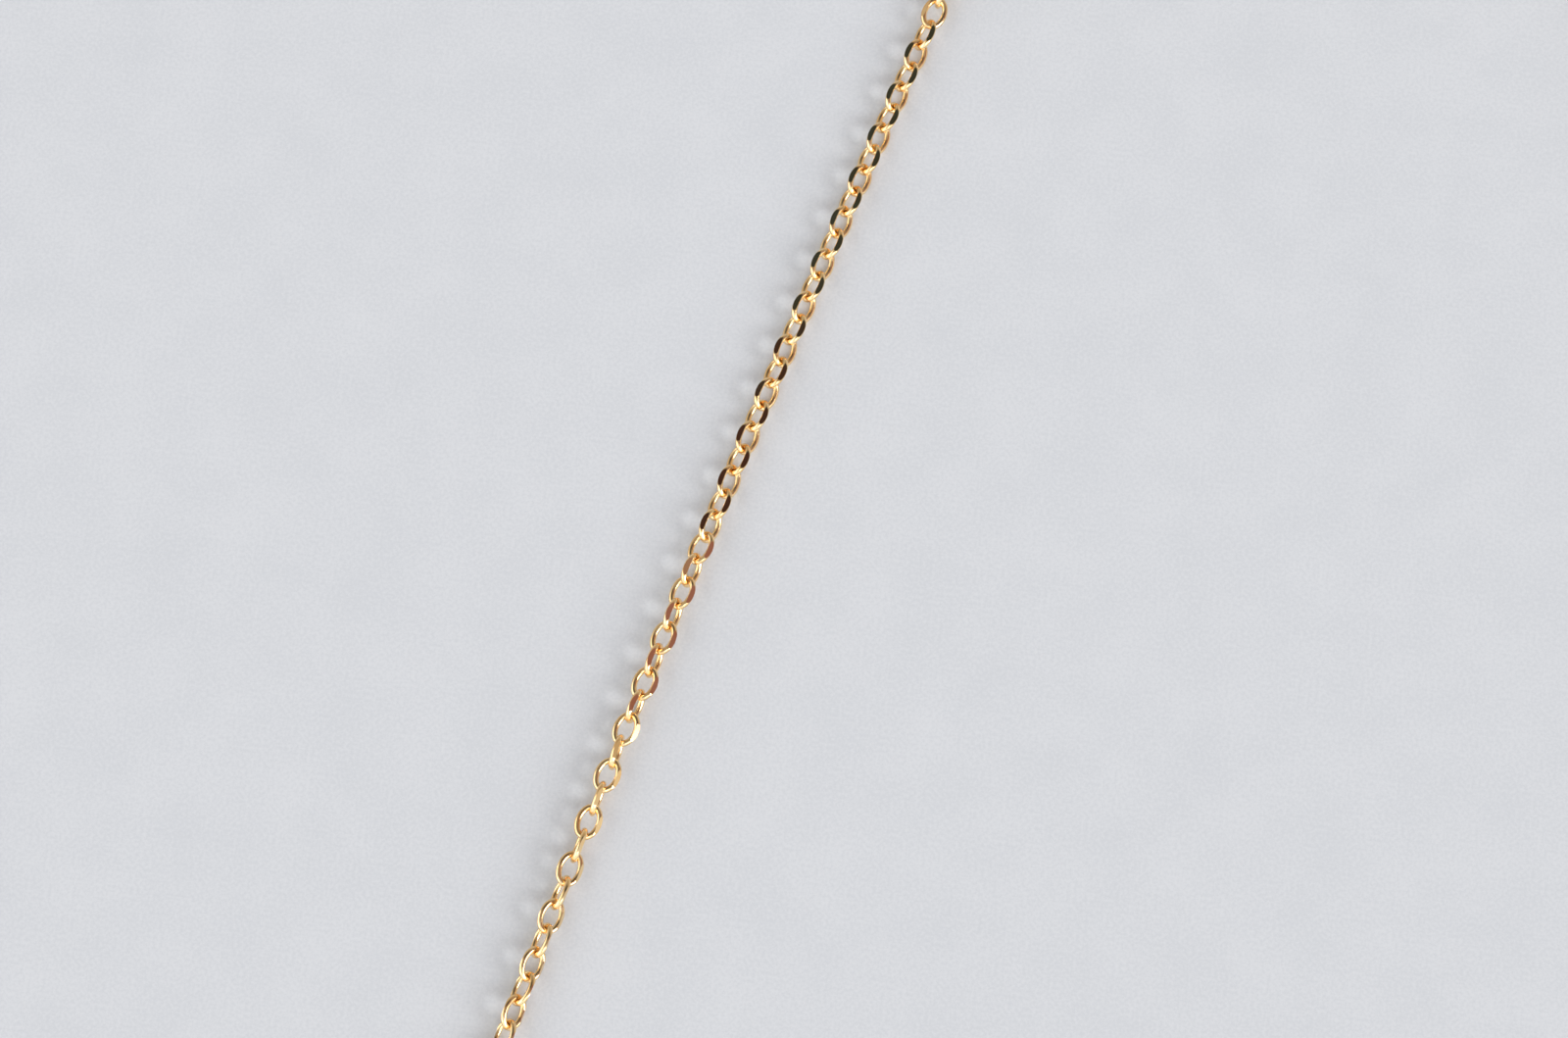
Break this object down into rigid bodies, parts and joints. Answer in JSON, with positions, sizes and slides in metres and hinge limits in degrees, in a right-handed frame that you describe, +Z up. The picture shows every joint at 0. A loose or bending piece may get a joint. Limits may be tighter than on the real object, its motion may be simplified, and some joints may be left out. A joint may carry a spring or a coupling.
{
  "type": "cable chain necklace",
  "caption": "Fine diamond-cut cable chain necklace with a claw clasp, lying closed in an egg-shaped loop on a flat surface.",
  "frame": {"origin": "on the surface the necklace lies on, under the middle of its overall box", "axes": "+Z up from the surface; +Y along the loop, from its wide front to the clasp; +X to the right, seen from above"},
  "size_m": [0.0972, 0.1876, 0.0018],
  "materials": {
    "chain_gold": "bright yellow gold, diamond-cut flats polished",
    "clasp_gold": "polished yellow gold"
  },
  "bodies": {
    "root": {"chain_front": "chain_gold", "chain_back": "chain_gold", "jump_ring_left": "clasp_gold", "jump_ring_right": "clasp_gold", "clasp": "clasp_gold"}
  },
  "joints": []
}
